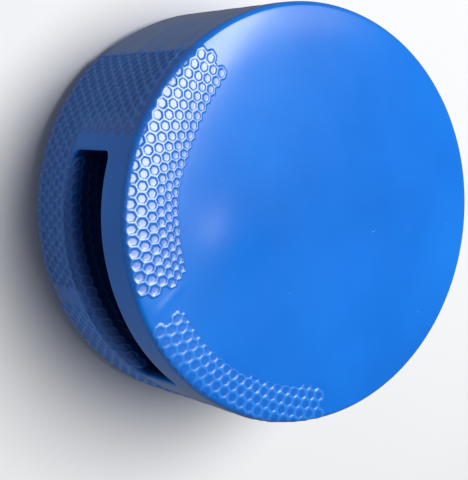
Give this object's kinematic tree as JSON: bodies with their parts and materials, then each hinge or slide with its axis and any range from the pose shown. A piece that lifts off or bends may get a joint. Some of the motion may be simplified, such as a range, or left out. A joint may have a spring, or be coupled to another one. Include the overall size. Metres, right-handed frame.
{
  "type": "kick paddle",
  "caption": "Round, thick hand-held strike pad: laminated foam disc in a dipped glossy vinyl skin, with a slot in the side wall leading to a flat hand pocket and raised hex net round the slot.",
  "frame": {"origin": "centre of the back face, on the surface that the pad lies on", "axes": "+Z out of the strike face, -Y out of the hand slot, +X to the right of the slot seen from outside with the strike face up"},
  "size_m": [0.204, 0.2048, 0.1005],
  "materials": {
    "vinyl": "gloss",
    "coated_net": "gloss",
    "lining": "satin",
    "firm_foam": "matte",
    "soft_foam": "matte"
  },
  "bodies": {
    "root": {"back_foam_rear": "firm_foam", "back_foam_front": "firm_foam", "pocket_spacer_foam": "soft_foam", "strike_foam_rear": "soft_foam", "strike_foam_front": "firm_foam", "pocket_lining": "lining", "face_skin": "vinyl", "side_skin": "vinyl", "back_skin": "vinyl", "net_left": "coated_net", "net_right": "coated_net", "slot_lip_net": "coated_net"}
  },
  "joints": []
}
